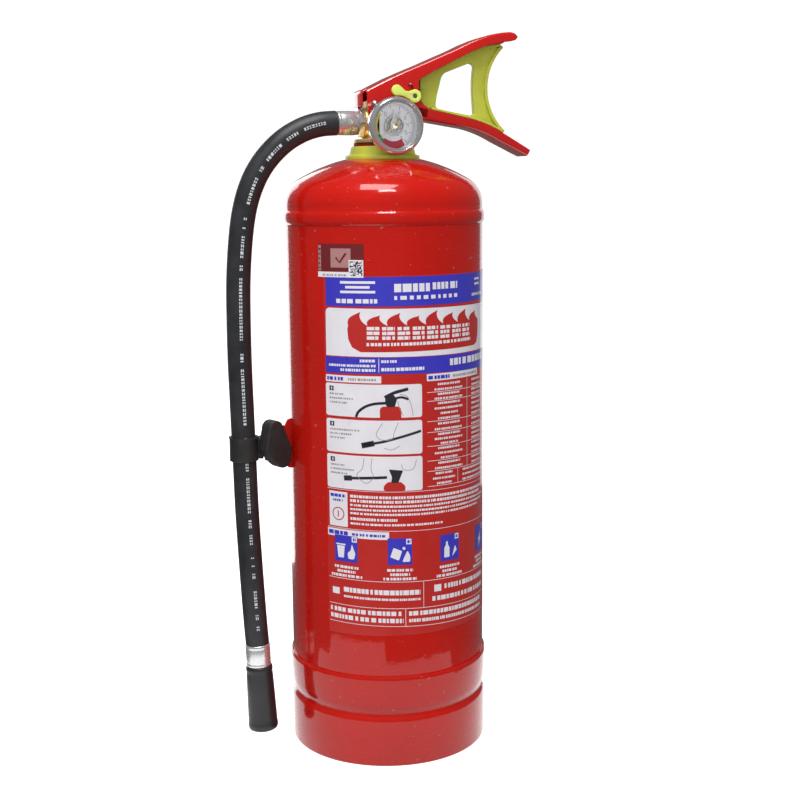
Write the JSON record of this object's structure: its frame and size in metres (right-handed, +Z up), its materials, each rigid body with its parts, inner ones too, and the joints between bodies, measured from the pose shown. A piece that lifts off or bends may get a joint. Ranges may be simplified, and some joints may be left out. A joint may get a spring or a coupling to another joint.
{
  "type": "fire extinguisher",
  "caption": "Portable dry-powder fire extinguisher: red steel cylinder, brass squeeze-lever valve with gauge, safety pin and insert, and a clipped discharge hose.",
  "frame": {"origin": "centre of the cylinder's base, on the floor", "axes": "+Z up along the cylinder, +X towards the free ends of the handles, -Y towards the gauge and label, hose on the -X side"},
  "size_m": [0.213, 0.1358, 0.4804],
  "materials": {
    "red_paint": "gloss",
    "handle_paint": "gloss",
    "lime_plastic": "satin",
    "tab_plastic": "satin",
    "brass": "cast, satin",
    "steel": "bright",
    "chrome": "polished",
    "ferrule_metal": "polished",
    "rubber": "matt",
    "hose_rubber": "satin",
    "clip_rubber": "matt",
    "nozzle_plastic": "satin",
    "tube_plastic": "satin",
    "powder": "powder",
    "dial_print": "satin",
    "needle": "satin",
    "lens": "clear",
    "label_print": "printed film",
    "sticker_print": "printed film"
  },
  "bodies": {
    "root": {"body_tube": "red_paint", "top_dome": "red_paint", "bottom_head": "red_paint", "base_skirt": "red_paint", "neck_boss": "red_paint", "neck_collar": "lime_plastic", "neck_gasket": "rubber", "valve_body": "brass", "stem_gland": "brass", "stem_o_ring": "rubber", "stem_spring": "steel", "spring_retainer": "brass", "siphon_tube": "tube_plastic", "powder_charge": "powder", "carry_handle": "handle_paint", "handle_rivet": "steel", "lever_pivot_rivet": "steel", "gauge_stem": "brass", "gauge_seal": "rubber", "gauge_case": "chrome", "gauge_dial": "dial_print", "bourdon_coil": "brass", "gauge_lens": "lens", "gauge_bezel": "chrome", "hose_nut": "chrome", "hose_tail": "brass", "hose_ferrule_upper": "ferrule_metal", "hose": "hose_rubber", "hose_ferrule_lower": "ferrule_metal", "nozzle_insert": "brass", "nozzle": "nozzle_plastic", "hose_clip_strap": "clip_rubber", "hose_clip_pad": "clip_rubber", "clip_bracket": "red_paint", "label_film": "label_print", "inspection_sticker": "sticker_print"},
    "lever": {"lever": "handle_paint"},
    "stem": {"valve_stem": "steel", "stem_seal": "rubber"},
    "pin": {"safety_pin": "steel", "pin_tab": "tab_plastic"},
    "insert": {"safety_insert": "lime_plastic"},
    "needle": {"gauge_needle": "needle"}
  },
  "joints": [
    {"name": "lever_press", "type": "hinge", "parent": "root", "child": "lever", "pos_m": [-0.0082, 0, 0.4331], "axis": [0, 1, 0], "range_deg": [0, 14], "stiffness_Nm_per_rad": 2, "springref_deg": -5.73},
    {"name": "stem_travel", "type": "slide", "parent": "root", "child": "stem", "axis": [0, 0, -1], "range_m": [0, 0.0032], "deforming": ["stem_spring"]},
    {"name": "insert_pull", "type": "slide", "parent": "root", "child": "insert", "axis": [1, 0, 0], "range_m": [0, 0.112]},
    {"name": "pin_pull", "type": "slide", "parent": "root", "child": "pin", "axis": [0, -1, 0], "range_m": [0, 0.045]},
    {"name": "needle_turn", "type": "hinge", "parent": "root", "child": "needle", "pos_m": [0, -0.0264, 0.4192], "axis": [0, 1, 0], "range_deg": [-85, 80], "stiffness_Nm_per_rad": 0.0005}
  ],
  "couplings": [
    {"joint": "stem_travel", "follows": "lever_press", "m_per_rad": 0.0125},
    {"joint": "insert_pull", "follows": "lever_press", "m_per_rad": 0.45}
  ]
}
